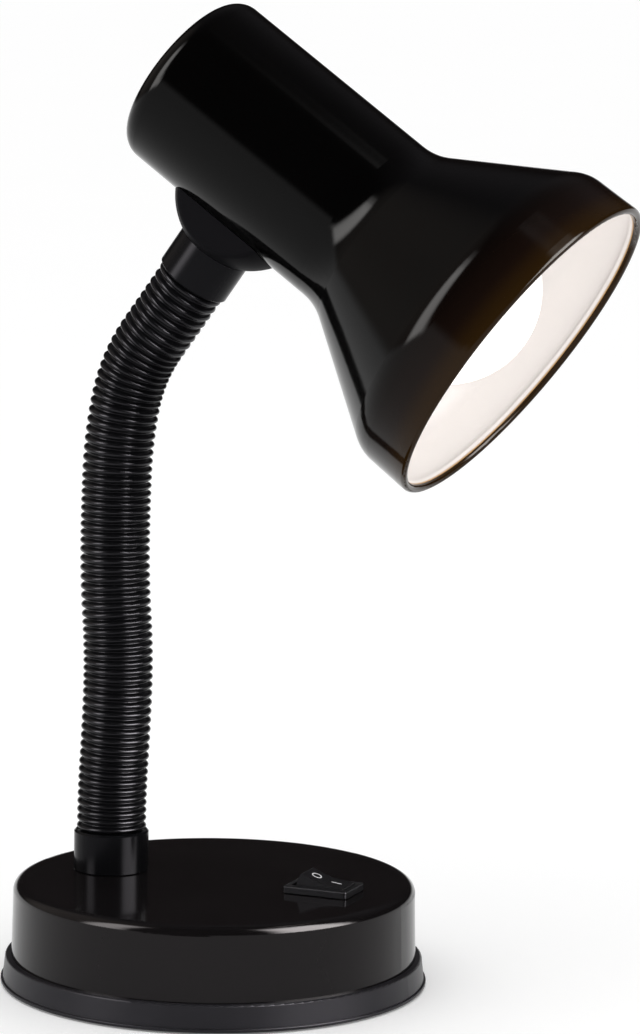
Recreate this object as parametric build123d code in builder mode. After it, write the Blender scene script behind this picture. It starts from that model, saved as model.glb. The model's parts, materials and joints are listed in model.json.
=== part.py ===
from build123d import *
import math
import os

# Table lamp with a flexible neck, in millimetres, +Z up.
# The origin is the centre of the face that the lamp stands on, +X points the way the shade aims,
# and the neck bends in the plane Y = 0.

# Fits and cuts
slip_fit = 0.15
running_fit = 0.05
turning_gap = 0.1
moving_gap = 0.3
overrun = 2.0

# Foot ring, pad and plate
foot_radius = 70.0
foot_height = 9.0
foot_lift_height = 0.4
foot_lip_width = 0.7
foot_lip_height = 1.2
foot_lip_round = 0.4
foot_taper_width = 0.8
foot_edge_round = 0.7
foot_ledge_width = 2.0
spigot_height = 3.0
spigot_wall = 1.2
plate_shoulder = 2.0
plate_thickness = 1.6
pad_thickness = 1.6
pad_inset = 1.0
ballast_inset = 3.75
ballast_height = 8.0

# Base cover
cover_height = 33.5
cover_taper_width = 0.6
cover_wall = 1.4
cover_edge_round = 3.2
boss_radius = 4.0
boss_inset = 15.9
boss_count = 3
boss_start_angle = 30
screw_radius = 1.6
screw_length = 22.0
screw_head_radius = 3.2
screw_head_height = 1.2

# Cord gland
gland_height = 18.0
gland_bore_radius = 3.5
gland_neck_radius = 4.6
gland_flange_radius = 6.2
gland_flange = 2.4
gland_inner_flange_radius = 5.4
gland_inner_flange = 3.0
gland_edge_round = 0.8

# Neck fixing in the base
neck_inset = 28.3
collar_radius = 12.35
collar_height = 13.5
collar_floor = 3.0
collar_edge_width = 0.6
collar_joint_width = 0.35
nipple_radius = 5.0
nipple_bore_radius = 3.5
nipple_grip_length = 7.0
nipple_tail_length = 1.5
nut_radius = 8.5
nut_height = 4.0
washer_radius = 10.0
washer_thickness = 1.4

# Flexible neck: eight hinged links, in direction angles from the vertical, under a ribbed sleeve
link_pitch = 23.87
link_leans = (0, 3.6, 1.7, -4.2, 0.2, 2.25, 12, 36.3, 35.5)
link_radius = 7.9
link_bore_radius = 3.5
hinge_reach_length = 4.0
ear_radius = 3.0
ear_root_length = 2.0
ear_thickness = 1.6
inner_ear_offset = 3.9
ear_gap = 0.2
trunnion_radius = 1.4
sleeve_crest_radius = 11.5
sleeve_shoulder_radius = 11.2
sleeve_groove_radius = 10.05
sleeve_bore_radius = 8.9
ribs_per_piece = 9
rib_shares = (0, 0.24, 0.5, 0.76)
neck_lead_radius = 2.7
lead_arc_share = 0.45

# Upper collar and swivel
upper_collar_length = 13.5
link_socket_depth = 6.0
upper_collar_floor = 3.0
swivel_head_radius = 7.4
swivel_head_height = 2.0
swivel_washer_thickness = 1.0
saddle_depth = 38.3
saddle_sphere_radius = 24.3
saddle_width = 31.0
saddle_round = 2.0
swivel_nut_height = 3.2
swivel_end_length = 0.4

# Shade
shade_radius = 30.1
shade_wall = 1.0
shade_end_round = 6.5
bend_depth = 61.9
bend_round = 20.0
band_depth = 19.0
band_back_radius = 56.4
band_front_radius = 56.9
band_round = 13.0
hem_width = 2.7
hem_length = 3.4
hem_round = 1.3

# Bulb
bulb_recess_depth = 2.3
bulb_length = 107.0
bulb_radius = 30.0
bulb_wall = 0.9
bulb_neck_radius = 13.4
cap_radius = 13.05
cap_length = 20.5
insulator_length = 3.7
insulator_large_radius = 10.0
insulator_small_radius = 6.0
bulb_contact_radius = 4.5
bulb_contact_length = 1.8

# Lampholder and its bracket
holder_radius = 18.5
holder_floor = 12.0
holder_edge_round = 1.5
shell_depth = 24.0
shell_radius = 13.75
shell_wall = 0.5
shell_recess = 1.5
contact_radius = 5.0
contact_thickness = 1.6
contact_stem_radius = 1.5
contact_stem = 8.0
holder_cap_length = 10.0
holder_cap_end_radius = 9.0
bracket_width = 15.0
bracket_thickness = 1.5
bracket_end = 9.5
bracket_top = 9.5
holder_nut_height = 4.0
holder_grip_length = 7.0
hub_ahead_length = 6.2
shade_end_gap = 6.4

# Rocker switch
switch_inset = 27.1
bezel_length = 22.0
bezel_width = 16.0
bezel_height = 2.5
bezel_corner = 0.8
bezel_round = 0.5
bezel_joint_width = 0.3
window_length = 18.2
body_length = 18.8
body_width = 12.8
body_depth = 13.0
body_floor = 3.0
cavity_length = 17.2
rocker_width = 10.4
rocker_length = 15.2
rocker_waist_length = 16.0
rocker_foot_length = 13.0
rocker_height = 5.6
rocker_dip_depth = 0.9
rocker_waist_height = 1.5
rocker_depth = 2.5
rocker_round = 0.5
rocker_tilt = 14
pivot_depth = 0.8
pivot_radius = 1.5
pivot_length = 0.75
strip_length = 12.0
strip_width = 4.0
strip_thickness = 0.6
blade_width = 4.8
blade_thickness = 0.8
blade_spacing = 5.0

# Terminal block and leads
block_y = 26.0
block_length = 20.0
block_width = 14.0
block_height = 13.0
block_round = 1.0
way_spacing = 10.0
way_height = 5.0
insert_radius = 2.6
insert_bore_radius = 1.6
insert_length = 12.0
terminal_screw_radius = 1.3
terminal_screw_spacing = 7.0
terminal_screw_depth = 1.0
lead_radius = 0.9
lead_bend = 4.0
lead_rise_share = 0.45
lead_level_share = 0.54
blade_end_share = 0.25
lead_grip_length = 3.0
head_lead_bend = 2.6
head_lead_spacing = 3.0
head_lead_clear = 1.0

# Levels and radii of the base that follow from these
plate_top = pad_thickness + plate_thickness
ballast_top = plate_top + ballast_height
cover_foot_radius = foot_radius - foot_lip_width - foot_taper_width - foot_ledge_width
cover_radius = cover_foot_radius - cover_taper_width
cover_ceiling = cover_height - cover_wall
spigot_radius = cover_foot_radius - cover_wall - slip_fit
plate_radius = spigot_radius - spigot_wall + plate_shoulder
ballast_radius = spigot_radius - spigot_wall - ballast_inset
boss_circle_radius = cover_radius - boss_inset
neck_x = neck_inset - cover_radius
switch_x = cover_radius - switch_inset
neck_start = Vector(neck_x, 0, cover_height + collar_height)
nipple_top = cover_height + collar_floor + nipple_grip_length
nipple_bottom = cover_ceiling - washer_thickness - nut_height - nipple_tail_length


def along(lean):
    """Unit vector of a stretch of neck that leans forward from the vertical."""
    return Vector(math.sin(math.radians(lean)), 0, math.cos(math.radians(lean)))


def across(lean):
    """Unit vector in the bending plane, square to a stretch of neck."""
    return Vector(math.cos(math.radians(lean)), 0, -math.sin(math.radians(lean)))


def neck_plane(point, lean):
    """Plane square to the neck, with a steady X axis in the bending plane."""
    return Plane(origin=point, x_dir=across(lean), z_dir=along(lean))


# Path of the neck: hinges stand one link pitch apart, and the collars lie half a pitch beyond the end ones
hinge_count = len(link_leans) - 1
hinges = [neck_start + along(link_leans[0]) * (link_pitch / 2)]
for lean in link_leans[1:-1]:
    hinges.append(hinges[-1] + along(lean) * link_pitch)
head_lean = link_leans[-1]
neck_end = hinges[-1] + along(head_lean) * (link_pitch / 2)

# Head frame: the upper collar's axis is square to the shade's, and they cross at the hub
bulb_end = bulb_recess_depth + bulb_length
hub_depth = bulb_end - hub_ahead_length
up = along(head_lean)
forward = across(head_lean)
axis_height = upper_collar_length + turning_gap + saddle_depth
hub = neck_end + up * axis_height
rim = hub + forward * hub_depth
head_plane = Plane(origin=rim, x_dir=-up, z_dir=-forward)
meridian = Plane(origin=rim, x_dir=-up, z_dir=(-up).cross(-forward))
head_axis = Axis(rim, -forward)
hub_plane = Plane(origin=hub, x_dir=-forward, z_dir=-up)
collar_plane = neck_plane(neck_end, head_lean)

# Stations along the head, measured back from the rim plane
glass_end = bulb_end - bulb_contact_length - insulator_length - cap_length
holder_mouth = bulb_end - shell_depth
holder_seat = bulb_end + contact_thickness
holder_back = holder_seat + holder_floor
bracket_station = holder_back + holder_cap_length
bracket_back = bracket_station + bracket_thickness
shade_length = bracket_back + holder_nut_height + shade_end_gap + shade_wall

# Depths below the shade's axis, towards the upper collar
shade_bore = shade_radius - shade_wall
bracket_seat = math.sqrt(shade_bore**2 - (bracket_width / 2) ** 2) - turning_gap
nut_seat = bracket_seat - bracket_thickness
bolt_top = nut_seat - swivel_nut_height - swivel_end_length
bolt_bottom = axis_height - (upper_collar_length - upper_collar_floor - turning_gap
                             - swivel_washer_thickness - swivel_head_height)


# Foot ring
with BuildPart() as foot_ring:
    with BuildSketch(Plane.XZ):
        with BuildLine():
            Polyline(
                (plate_radius + slip_fit, foot_lift_height),
                (foot_radius, foot_lift_height),
                (foot_radius, foot_lift_height + foot_lip_height),
                (foot_radius - foot_lip_width, foot_lift_height + foot_lip_height),
                (foot_radius - foot_lip_width - foot_taper_width, foot_height),
                (spigot_radius, foot_height),
                (spigot_radius, foot_height + spigot_height),
                (spigot_radius - spigot_wall, foot_height + spigot_height),
                (spigot_radius - spigot_wall, plate_top),
                (plate_radius + slip_fit, plate_top),
                close=True,
            )
        make_face()
    revolve(axis=Axis.Z)
    lip_edges = foot_ring.edges().filter_by(lambda e: e.geom_type == GeomType.CIRCLE
                                            and abs(e.radius - foot_radius) < slip_fit)
    fillet(lip_edges, foot_lip_round)
    top_edge = foot_ring.edges().filter_by(
        lambda e: e.geom_type == GeomType.CIRCLE
        and abs(e.radius - (foot_radius - foot_lip_width - foot_taper_width)) < slip_fit
        and abs(e.center().Z - foot_height) < slip_fit)
    fillet(top_edge, foot_edge_round)

# Pad under the plate, with a recess for each screw head
with BuildPart() as foot_pad:
    with BuildSketch():
        Circle(plate_radius - pad_inset)
        with PolarLocations(boss_circle_radius, boss_count, boss_start_angle):
            Circle(screw_head_radius + moving_gap, mode=Mode.SUBTRACT)
    extrude(amount=pad_thickness)

# Steel plate that closes the base
with BuildPart() as base_plate:
    with BuildSketch(Plane.XY.offset(pad_thickness)):
        Circle(plate_radius)
        with PolarLocations(boss_circle_radius, boss_count, boss_start_angle):
            Circle(screw_radius + slip_fit, mode=Mode.SUBTRACT)
    extrude(amount=plate_thickness)

# Cast weight that keeps the lamp upright
with BuildPart() as ballast_weight:
    with BuildSketch(Plane.XY.offset(plate_top)):
        Circle(ballast_radius)
        with PolarLocations(boss_circle_radius, boss_count, boss_start_angle):
            Circle(screw_radius + slip_fit, mode=Mode.SUBTRACT)
    extrude(amount=ballast_height)
    chamfer(ballast_weight.edges().group_by(Axis.Z)[-1].sort_by(SortBy.LENGTH)[-1], cover_wall)

# Screws from below, through plate and weight into the cover's bosses
with BuildPart() as base_screws:
    with BuildSketch(Plane.XY.offset(pad_thickness - screw_head_height)):
        with PolarLocations(boss_circle_radius, boss_count, boss_start_angle):
            Circle(screw_head_radius)
    extrude(amount=screw_head_height)
    with BuildSketch(Plane.XY.offset(pad_thickness)):
        with PolarLocations(boss_circle_radius, boss_count, boss_start_angle):
            Circle(screw_radius)
    extrude(amount=screw_length)

# Outer radius of the cover at the gland, and the planes that the gland's flanges bear on
cover_rise = cover_height - foot_height
gland_cover_radius = cover_radius + cover_taper_width * (cover_height - gland_height) / cover_rise
gland_outer_seat = gland_cover_radius + cover_taper_width * gland_flange_radius / cover_rise
gland_inner_radius = gland_cover_radius - cover_wall - slip_fit
gland_inner_seat = math.sqrt(gland_inner_radius**2 - gland_inner_flange_radius**2)
gland_plane = Plane(origin=(0, 0, gland_height), x_dir=(0, 1, 0), z_dir=(-1, 0, 0))

# Lacquered cover: drum with rounded top edge, screw bosses, neck hole, switch cut-out and gland hole
with BuildPart() as base_cover:
    with BuildSketch(Plane.XZ):
        with BuildLine():
            Polyline(
                (0, cover_height),
                (cover_radius, cover_height),
                (cover_foot_radius, foot_height),
                (cover_foot_radius - cover_wall, foot_height),
                (cover_radius - cover_wall, cover_ceiling),
                (0, cover_ceiling),
                close=True,
            )
        make_face()
    revolve(axis=Axis.Z)
    fillet(base_cover.edges().filter_by(GeomType.CIRCLE).group_by(Axis.Z)[-1], cover_edge_round)
    inner_corner = base_cover.edges().filter_by(
        lambda e: e.geom_type == GeomType.CIRCLE and abs(e.center().Z - cover_ceiling) < slip_fit)
    fillet(inner_corner, cover_edge_round - cover_wall)
    with BuildSketch(Plane.XY.offset(ballast_top)):
        with PolarLocations(boss_circle_radius, boss_count, boss_start_angle):
            Circle(boss_radius)
    extrude(amount=cover_height - cover_wall / 2 - ballast_top)
    with BuildSketch(Plane.XY.offset(ballast_top)):
        with PolarLocations(boss_circle_radius, boss_count, boss_start_angle):
            Circle(screw_radius + running_fit)
    extrude(amount=pad_thickness + screw_length + slip_fit - ballast_top, mode=Mode.SUBTRACT)
    with BuildSketch(Plane.XY.offset(cover_ceiling - overrun)):
        with Locations((neck_x, 0)):
            Circle(nipple_radius + slip_fit)
        with Locations((switch_x, 0)):
            Rectangle(body_length + 2 * slip_fit, body_width + 2 * slip_fit)
    extrude(amount=cover_wall + 2 * overrun, mode=Mode.SUBTRACT)
    with BuildSketch(gland_plane.offset(gland_inner_seat - overrun)):
        Circle(gland_neck_radius + slip_fit)
    extrude(amount=cover_wall + 3 * overrun, mode=Mode.SUBTRACT)

# Rubber gland in the rear wall, bored for the supply cord
with BuildPart() as cord_gland:
    with BuildSketch(gland_plane.offset(gland_outer_seat)):
        Circle(gland_flange_radius)
    extrude(amount=gland_flange)
    fillet(cord_gland.edges().group_by(Axis.X)[0], gland_edge_round)
    with BuildSketch(gland_plane.offset(gland_inner_seat)):
        Circle(gland_neck_radius)
    extrude(amount=gland_outer_seat - gland_inner_seat)
    with BuildSketch(gland_plane.offset(gland_inner_seat - gland_inner_flange)):
        Circle(gland_inner_flange_radius)
    extrude(amount=gland_inner_flange)
    with BuildSketch(gland_plane.offset(gland_inner_seat - gland_inner_flange - overrun)):
        Circle(gland_bore_radius)
    extrude(amount=gland_outer_seat + gland_flange - gland_inner_seat + gland_inner_flange + 2 * overrun,
            mode=Mode.SUBTRACT)

# Lower collar on the cover
with BuildPart() as lower_collar:
    with BuildSketch(Plane.XY.offset(cover_height)):
        with Locations((neck_x, 0)):
            Circle(collar_radius)
            Circle(nipple_radius + slip_fit, mode=Mode.SUBTRACT)
    extrude(amount=collar_height)
    chamfer(lower_collar.edges().group_by(Axis.Z)[-1].sort_by(SortBy.LENGTH)[-1], collar_edge_width)
    chamfer(lower_collar.edges().group_by(Axis.Z)[0].sort_by(SortBy.LENGTH)[-1], collar_joint_width)
    with BuildSketch(Plane.XY.offset(cover_height + collar_floor)):
        with Locations((neck_x, 0)):
            Circle(link_radius + moving_gap)
    extrude(amount=collar_height, mode=Mode.SUBTRACT)

# Hollow nipple, washer and nut that clamp neck and collar to the cover
with BuildPart() as neck_nipple:
    with BuildSketch(Plane.XY.offset(nipple_bottom)):
        with Locations((neck_x, 0)):
            Circle(nipple_radius)
            Circle(nipple_bore_radius, mode=Mode.SUBTRACT)
    extrude(amount=nipple_top - nipple_bottom)

with BuildPart() as nipple_washer:
    with BuildSketch(Plane.XY.offset(cover_ceiling - washer_thickness)):
        with Locations((neck_x, 0)):
            Circle(washer_radius)
            Circle(nipple_radius + slip_fit, mode=Mode.SUBTRACT)
    extrude(amount=washer_thickness)

with BuildPart() as nipple_nut:
    with BuildSketch(Plane.XY.offset(cover_ceiling - washer_thickness - nut_height)):
        with Locations((neck_x, 0)):
            RegularPolygon(nut_radius, 6)
            Circle(nipple_radius + running_fit, mode=Mode.SUBTRACT)
    extrude(amount=nut_height)


def hinge_plane(index):
    """Plane square to a hinge's axis, with Y along the neck. Odd hinges pitch about Y, even ones sway."""
    lean = (link_leans[index - 1] + link_leans[index]) / 2
    axis = Vector(0, 1, 0) if index % 2 else across(lean)
    return Plane(origin=hinges[index - 1], x_dir=along(lean).cross(axis), z_dir=axis)


def ear_outline(plane, side):
    """Round-ended ear on a hinge's axis, rooted up (1) or down (-1) the neck."""
    root = hinge_reach_length + ear_root_length
    with BuildSketch(plane) as ear:
        Circle(ear_radius)
        with Locations((0, side * root / 2)):
            Rectangle(2 * ear_radius, root)
    return ear.sketch


def pin_outline(plane, radius):
    """Round section of a hinge's pin or of its hole."""
    with BuildSketch(plane) as pin:
        Circle(radius)
    return pin.sketch


def neck_link(index):
    """One hollow link of the core: inner ears on its lower hinge, outer ears and pins on its upper."""
    lean = link_leans[index]
    outer_ear_offset = inner_ear_offset + ear_thickness + ear_gap
    pin_length = outer_ear_offset - inner_ear_offset
    first = index == 0
    last = index == hinge_count
    if first:
        low_point = Vector(neck_x, 0, cover_height + collar_floor)
    else:
        low_point = hinges[index - 1] + along(lean) * hinge_reach_length
    if last:
        high_point = neck_end + up * link_socket_depth
    else:
        high_point = hinges[index] - along(lean) * hinge_reach_length
    with BuildPart() as link:
        with BuildSketch(neck_plane(low_point, lean)):
            Circle(link_radius)
            Circle(link_bore_radius, mode=Mode.SUBTRACT)
        extrude(amount=(high_point - low_point).length)
        if first:
            with BuildSketch(neck_plane(low_point, lean)):
                Circle(nipple_radius + running_fit)
            extrude(amount=nipple_grip_length + slip_fit, mode=Mode.SUBTRACT)
        else:
            lower = hinge_plane(index)
            for low in (inner_ear_offset, -inner_ear_offset - ear_thickness):
                extrude(ear_outline(lower.offset(low), 1), amount=ear_thickness)
                hole = pin_outline(lower.offset(low), trunnion_radius + running_fit)
                extrude(hole, amount=ear_thickness, mode=Mode.SUBTRACT)
        if not last:
            upper = hinge_plane(index + 1)
            for low in (outer_ear_offset, -outer_ear_offset - ear_thickness):
                extrude(ear_outline(upper.offset(low), -1), amount=ear_thickness)
            for low in (inner_ear_offset, -outer_ear_offset):
                extrude(pin_outline(upper.offset(low), trunnion_radius), amount=pin_length)
    return link.part


def sleeve_plane(index, share):
    """Plane square to the sleeve's centreline, a share of the way along a piece that bends as an arc."""
    start_lean = link_leans[index - 1]
    turn = link_leans[index] - start_lean
    start = hinges[index - 1] - along(start_lean) * (link_pitch / 2)
    if turn == 0:
        return neck_plane(start + along(start_lean) * (link_pitch * share), start_lean)
    radius = link_pitch / 2 / math.tan(math.radians(turn) / 2)
    lean = start_lean + turn * share
    return neck_plane(start + (across(start_lean) - across(lean)) * radius, lean)


def neck_sleeve(index):
    """One stretch of ribbed sleeve, from mid link to mid link, with its bore."""
    rib_radii = (sleeve_groove_radius, sleeve_shoulder_radius, sleeve_crest_radius, sleeve_shoulder_radius)
    with BuildPart() as sleeve:
        for rib in range(ribs_per_piece):
            for rib_share, radius in zip(rib_shares, rib_radii):
                with BuildSketch(sleeve_plane(index, (rib + rib_share) / ribs_per_piece)):
                    Circle(radius)
        with BuildSketch(sleeve_plane(index, 1)):
            Circle(sleeve_groove_radius)
        loft(ruled=True)
        for rib in range(ribs_per_piece + 1):
            with BuildSketch(sleeve_plane(index, rib / ribs_per_piece)):
                Circle(sleeve_bore_radius)
        loft(ruled=True, mode=Mode.SUBTRACT)
    return sleeve.part


neck_links = [neck_link(index) for index in range(hinge_count + 1)]
neck_sleeves = [neck_sleeve(index) for index in range(1, hinge_count + 1)]

# Flexible lead through nipple, neck and swivel bolt, with an arc at each hinge that the neck turns at
lead_points = [Vector(neck_x, 0, nipple_bottom)]
lead_radii = []
for index in range(1, hinge_count + 1):
    turn = abs(link_leans[index] - link_leans[index - 1])
    if turn > 0:
        lead_points.append(hinges[index - 1])
        lead_radii.append(lead_arc_share * link_pitch / math.tan(math.radians(turn) / 2))
lead_points.append(hub - up * (bolt_top + lead_grip_length))
with BuildPart() as neck_lead:
    with BuildLine():
        lead_path = FilletPolyline(*lead_points, radius=lead_radii)
    with BuildSketch(Plane.XY.offset(nipple_bottom)):
        with Locations((neck_x, 0)):
            Circle(neck_lead_radius)
    sweep(path=lead_path)

# Upper collar: socket for the last link, chamber for the swivel bolt's head, floor that the head turns on
with BuildPart() as upper_collar:
    with BuildSketch(collar_plane):
        Circle(collar_radius)
        Circle(nipple_radius + running_fit, mode=Mode.SUBTRACT)
    extrude(amount=upper_collar_length)
    collar_rims = upper_collar.edges().filter_by(
        lambda e: e.geom_type == GeomType.CIRCLE and abs(e.radius - collar_radius) < slip_fit)
    chamfer(collar_rims.sort_by(Axis.Z)[0], collar_edge_width)
    with BuildSketch(collar_plane):
        Circle(link_radius + slip_fit)
    extrude(amount=upper_collar_length - upper_collar_floor, mode=Mode.SUBTRACT)

# Hollow swivel bolt, its washer and nut
with BuildPart() as swivel_bolt:
    with BuildSketch(hub_plane.offset(bolt_bottom - swivel_head_height)):
        Circle(swivel_head_radius)
    extrude(amount=swivel_head_height)
    with BuildSketch(hub_plane.offset(bolt_top)):
        Circle(nipple_radius)
    extrude(amount=bolt_bottom - bolt_top)
    with BuildSketch(hub_plane.offset(bolt_top - overrun)):
        Circle(nipple_bore_radius)
    extrude(amount=bolt_bottom - bolt_top + 2 * overrun, mode=Mode.SUBTRACT)

with BuildPart() as swivel_washer:
    with BuildSketch(hub_plane.offset(bolt_bottom - swivel_head_height - swivel_washer_thickness)):
        Circle(swivel_head_radius)
        Circle(nipple_radius + slip_fit, mode=Mode.SUBTRACT)
    extrude(amount=swivel_washer_thickness)

with BuildPart() as swivel_nut:
    with BuildSketch(hub_plane.offset(nut_seat - swivel_nut_height)):
        RegularPolygon(nut_radius, 6)
        Circle(nipple_radius + running_fit, mode=Mode.SUBTRACT)
    extrude(amount=swivel_nut_height)

# Domed saddle with flat cheeks between collar and shade
saddle_centre_depth = saddle_depth - math.sqrt(saddle_sphere_radius**2 - collar_radius**2)
with BuildPart() as swivel_saddle:
    with Locations(hub_plane.offset(saddle_centre_depth)):
        Sphere(saddle_sphere_radius)
    split(bisect_by=hub_plane.offset(saddle_depth), keep=Keep.BOTTOM)
    split(bisect_by=Plane.XZ.offset(saddle_width / 2), keep=Keep.BOTTOM)
    split(bisect_by=Plane.XZ.offset(-saddle_width / 2), keep=Keep.TOP)
    cheeks = swivel_saddle.faces().sort_by(Axis.Y)
    fillet(cheeks[0].edges() + cheeks[-1].edges(), saddle_round)
    with BuildSketch(head_plane.offset(hub_depth - shade_radius)):
        Circle(shade_radius + turning_gap)
    extrude(amount=2 * shade_radius, mode=Mode.SUBTRACT)
    with BuildSketch(hub_plane):
        Circle(nipple_radius + slip_fit)
    extrude(amount=saddle_depth + overrun, mode=Mode.SUBTRACT)

# Spun shade: closed cylinder, flare and front band with a hem rolled inwards
with BuildPart() as shade:
    with BuildSketch(meridian):
        with BuildLine():
            shade_line = FilletPolyline(
                (0, shade_length),
                (shade_radius, shade_length),
                (shade_radius, bend_depth),
                (band_back_radius, band_depth),
                (band_front_radius, hem_length / 2),
                radius=(shade_end_round, bend_round, band_round),
            )
            offset(shade_line, amount=shade_wall, side=Side.RIGHT)
        make_face()
    revolve(axis=head_axis)
    with BuildSketch(meridian) as hem:
        with BuildLine():
            Polyline(
                (band_front_radius - hem_width, 0),
                (band_front_radius, 0),
                (band_front_radius, hem_length),
                (band_front_radius - hem_width, hem_length),
                close=True,
            )
        make_face()
        fillet(hem.vertices().sort_by(Axis.Y)[:2], hem_round)
    revolve(axis=head_axis)
    with BuildSketch(hub_plane):
        Circle(nipple_radius + slip_fit)
    extrude(amount=shade_radius + overrun, mode=Mode.SUBTRACT)

# Bracket that hangs the lampholder from the swivel bolt
with BuildPart() as holder_bracket:
    with BuildSketch(meridian):
        with BuildLine():
            Polyline(
                (bracket_seat, hub_depth - bracket_end),
                (bracket_seat, bracket_back),
                (-bracket_top, bracket_back),
                (-bracket_top, bracket_station),
                (nut_seat, bracket_station),
                (nut_seat, hub_depth - bracket_end),
                close=True,
            )
        make_face()
    extrude(amount=bracket_width / 2, both=True)
    with BuildSketch(hub_plane):
        Circle(nipple_radius + slip_fit)
    extrude(amount=shade_radius, mode=Mode.SUBTRACT)
    with BuildSketch(head_plane.offset(bracket_station - overrun)):
        Circle(nipple_radius + slip_fit)
    extrude(amount=bracket_thickness + 2 * overrun, mode=Mode.SUBTRACT)

# Nipple and nut that fasten the holder to the bracket
with BuildPart() as holder_nipple:
    with BuildSketch(head_plane.offset(bracket_station - holder_grip_length)):
        Circle(nipple_radius)
        Circle(nipple_bore_radius, mode=Mode.SUBTRACT)
    extrude(amount=holder_grip_length + bracket_thickness + holder_nut_height)

with BuildPart() as holder_nut:
    with BuildSketch(head_plane.offset(bracket_back)):
        RegularPolygon(nut_radius, 6)
        Circle(nipple_radius + running_fit, mode=Mode.SUBTRACT)
    extrude(amount=holder_nut_height)


def head_point(depth, side, station):
    """Point of the head: depth towards the collar, sideways, and back from the rim plane."""
    return rim - up * depth + Vector(0, side, 0) - forward * station


# Conical cap of the holder, with two holes for the leads
cap_entry = holder_back + holder_cap_length / 2
cap_entry_radius = (holder_radius + holder_cap_end_radius) / 2
with BuildPart() as holder_cap:
    with BuildSketch(meridian):
        with BuildLine():
            Polyline(
                (nipple_radius + running_fit, holder_back),
                (holder_radius, holder_back),
                (holder_cap_end_radius, bracket_station),
                (nipple_radius + running_fit, bracket_station),
                close=True,
            )
        make_face()
    revolve(axis=head_axis)
    cap_entry_point = head_point(cap_entry_radius - lead_grip_length, 0, cap_entry)
    with BuildSketch(Plane(origin=cap_entry_point, x_dir=(0, 1, 0), z_dir=-up)):
        with GridLocations(head_lead_spacing, 0, 2, 1):
            Circle(lead_radius + slip_fit)
    extrude(amount=holder_radius, mode=Mode.SUBTRACT)

# Holder body: socket for the threaded shell, and a floor that carries the centre contact
with BuildPart() as holder_body:
    with BuildSketch(head_plane.offset(holder_mouth)):
        Circle(holder_radius)
    extrude(amount=holder_back - holder_mouth)
    with BuildSketch(head_plane.offset(holder_mouth)):
        Circle(shell_radius + slip_fit)
    extrude(amount=holder_seat - holder_mouth, mode=Mode.SUBTRACT)
    with BuildSketch(head_plane.offset(holder_seat)):
        Circle(contact_stem_radius + running_fit)
    extrude(amount=holder_floor, mode=Mode.SUBTRACT)
    mouth_edge = holder_body.edges().filter_by(
        lambda e: e.geom_type == GeomType.CIRCLE and abs(e.radius - holder_radius) < slip_fit)
    fillet(mouth_edge.sort_by(Axis.X)[-1], holder_edge_round)

with BuildPart() as holder_shell:
    with BuildSketch(head_plane.offset(holder_mouth + shell_recess)):
        Circle(shell_radius)
        Circle(shell_radius - shell_wall, mode=Mode.SUBTRACT)
    extrude(amount=holder_seat - holder_mouth - shell_recess)

with BuildPart() as holder_contact:
    with BuildSketch(head_plane.offset(bulb_end)):
        Circle(contact_radius)
    extrude(amount=contact_thickness)
    with BuildSketch(head_plane.offset(holder_seat)):
        Circle(contact_stem_radius)
    extrude(amount=contact_stem)

# Bulb: hollow glass, screw cap, insulator and contact
bulb_centre = bulb_recess_depth + bulb_radius
neck_reach = glass_end - bulb_centre
tangent_angle = math.degrees(math.atan2(bulb_neck_radius, neck_reach)
                             + math.acos(bulb_radius / math.hypot(neck_reach, bulb_neck_radius)))
with BuildPart() as bulb_glass:
    with BuildSketch(meridian):
        with BuildLine() as glass_line:
            dome = CenterArc((0, bulb_centre), bulb_radius, -90, 180 - tangent_angle)
            Line(dome @ 1, (bulb_neck_radius, glass_end))
            offset(glass_line.line, amount=bulb_wall, side=Side.LEFT)
        make_face()
    revolve(axis=head_axis)

with BuildPart() as bulb_cap:
    with BuildSketch(head_plane.offset(glass_end)):
        Circle(cap_radius)
    extrude(amount=cap_length)

with BuildPart() as bulb_insulator:
    with BuildSketch(head_plane.offset(glass_end + cap_length)):
        Circle(insulator_large_radius)
    with BuildSketch(head_plane.offset(glass_end + cap_length + insulator_length)):
        Circle(insulator_small_radius)
    loft()

with BuildPart() as bulb_contact:
    with BuildSketch(head_plane.offset(bulb_end - bulb_contact_length)):
        Circle(bulb_contact_radius)
    extrude(amount=bulb_contact_length)

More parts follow.
